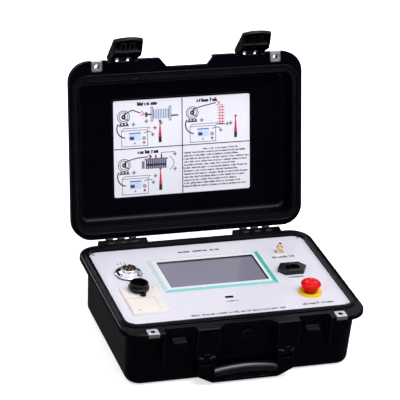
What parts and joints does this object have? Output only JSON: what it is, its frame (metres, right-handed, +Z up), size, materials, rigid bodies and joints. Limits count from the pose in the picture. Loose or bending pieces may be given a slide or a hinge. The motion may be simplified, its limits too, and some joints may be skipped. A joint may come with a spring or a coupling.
{
  "type": "very low frequency cable tester",
  "caption": "Portable very low frequency cable tester in a hinged, latched carrying case: panel with touch screen, printer, test connector, mains inlet, earth stud and emergency stop.",
  "frame": {"origin": "centre of the case's footprint, on the floor", "axes": "+Z up, +X to the user's right, -Y towards the user (handle and latch side); hinges at the rear"},
  "size_m": [0.41, 0.4247, 0.4465],
  "materials": {
    "case_black": "satin",
    "seal_rubber": "matte",
    "grip_rubber": "matte",
    "cap_rubber": "satin",
    "stainless": "satin",
    "panel_white": "satin",
    "screw_steel": "satin",
    "bezel_teal": "satin",
    "screen": "gloss",
    "dark_plastic": "satin",
    "connector_chrome": "gloss",
    "insert_brown": "satin",
    "gold": "gloss",
    "printer_cream": "satin",
    "paper": "matte",
    "earth_brass": "satin",
    "stop_red": "gloss",
    "stop_yellow": "satin",
    "contact_green": "satin",
    "plate_zinc": "satin",
    "winding": "satin",
    "board_green": "satin",
    "capacitor_blue": "satin",
    "label_white": "satin"
  },
  "bodies": {
    "base": {"base_tub": "case_black", "panel_plate": "panel_white", "panel_screws": "screw_steel", "base_padlock_plates": "stainless", "hinge_pins": "screw_steel", "handle_pins": "screw_steel", "hmi_bezel": "bezel_teal", "hmi_screen": "screen", "hmi_housing": "dark_plastic", "hmi_clamps": "plate_zinc", "connector_shell": "connector_chrome", "connector_insert": "insert_brown", "connector_pins": "gold", "connector_nut": "screw_steel", "printer_frame": "printer_cream", "printer_housing": "printer_cream", "print_head": "dark_plastic", "usb_socket": "dark_plastic", "earth_stud": "earth_brass", "earth_washer": "screw_steel", "earth_lock_nut": "screw_steel", "inlet_housing": "dark_plastic", "inlet_blades": "screw_steel", "stop_ring": "stop_yellow", "stop_bush": "dark_plastic", "stop_contact_block": "contact_green", "valve_body": "dark_plastic", "chassis_plate": "plate_zinc", "chassis_spacers": "earth_brass", "transformer_coil": "winding", "transformer_washer": "plate_zinc", "transformer_bolt": "screw_steel", "power_supply": "plate_zinc", "drive_board": "board_green", "drive_heatsink": "plate_zinc", "storage_capacitors": "capacitor_blue", "control_board": "board_green"},
    "lid": {"lid_shell": "case_black", "lid_gasket": "seal_rubber", "lid_padlock_plates": "stainless", "instruction_label": "label_white", "latch_pins": "screw_steel"},
    "left_latch": {"left_latch": "case_black"},
    "right_latch": {"right_latch": "case_black"},
    "handle": {"handle_frame": "case_black", "handle_grip": "grip_rubber"},
    "stop_stem": {"stop_stem": "screw_steel"},
    "stop_head": {"stop_head": "stop_red"},
    "printer_door": {"printer_door": "printer_cream"},
    "platen": {"platen_roller": "grip_rubber"},
    "paper": {"paper_roll": "paper"},
    "dust_cap": {"dust_cap": "cap_rubber", "cap_tether": "cap_rubber"},
    "thumb_nut": {"earth_thumb_nut": "earth_brass"},
    "valve_knob": {"valve_knob": "dark_plastic"}
  },
  "joints": [
    {"name": "lid_hinge", "type": "hinge", "parent": "base", "child": "lid", "pos_m": [0, 0.1596, 0.097], "axis": [-1, 0, 0], "range_deg": [-105, 0]},
    {"name": "left_latch_swing", "type": "hinge", "parent": "lid", "child": "left_latch", "pos_m": [-0.112, 0.25161, 0.39597], "axis": [-1, 0, 0], "range_deg": [-38, 0]},
    {"name": "right_latch_swing", "type": "hinge", "parent": "lid", "child": "right_latch", "pos_m": [0.112, 0.25161, 0.39597], "axis": [-1, 0, 0], "range_deg": [-38, 0]},
    {"name": "handle_swing", "type": "hinge", "parent": "base", "child": "handle", "pos_m": [0, -0.146, 0.047], "axis": [-1, 0, 0], "range_deg": [0, 95]},
    {"name": "stop_press", "type": "slide", "parent": "base", "child": "stop_stem", "axis": [0, 0, -1], "range_m": [0, 0.0035]},
    {"name": "stop_twist", "type": "hinge", "parent": "stop_stem", "child": "stop_head", "pos_m": [0.136, -0.0595, 0.1115], "axis": [0, 0, -1], "range_deg": [0, 30]},
    {"name": "printer_door_hinge", "type": "hinge", "parent": "base", "child": "printer_door", "pos_m": [-0.145, -0.0745, 0.101], "axis": [1, 0, 0], "range_deg": [0, 85]},
    {"name": "platen_spin", "type": "hinge", "parent": "printer_door", "child": "platen", "pos_m": [-0.145, -0.0382, 0.0943], "axis": [1, 0, 0], "continuous": true},
    {"name": "paper_spin", "type": "hinge", "parent": "base", "child": "paper", "pos_m": [-0.145, -0.057, 0.073], "axis": [1, 0, 0], "continuous": true},
    {"name": "cap_swivel", "type": "hinge", "parent": "base", "child": "dust_cap", "pos_m": [-0.141, 0.049, 0.1005], "axis": [0, 0, 1], "range_deg": [-20, 20]},
    {"name": "thumb_nut_turn", "type": "hinge", "parent": "base", "child": "thumb_nut", "pos_m": [0.1325, 0.08, 0.1045], "axis": [0, 0, 1], "continuous": true},
    {"name": "valve_turn", "type": "hinge", "parent": "base", "child": "valve_knob", "pos_m": [0, -0.1404, 0.083], "axis": [0, -1, 0], "range_deg": [0, 180]}
  ]
}
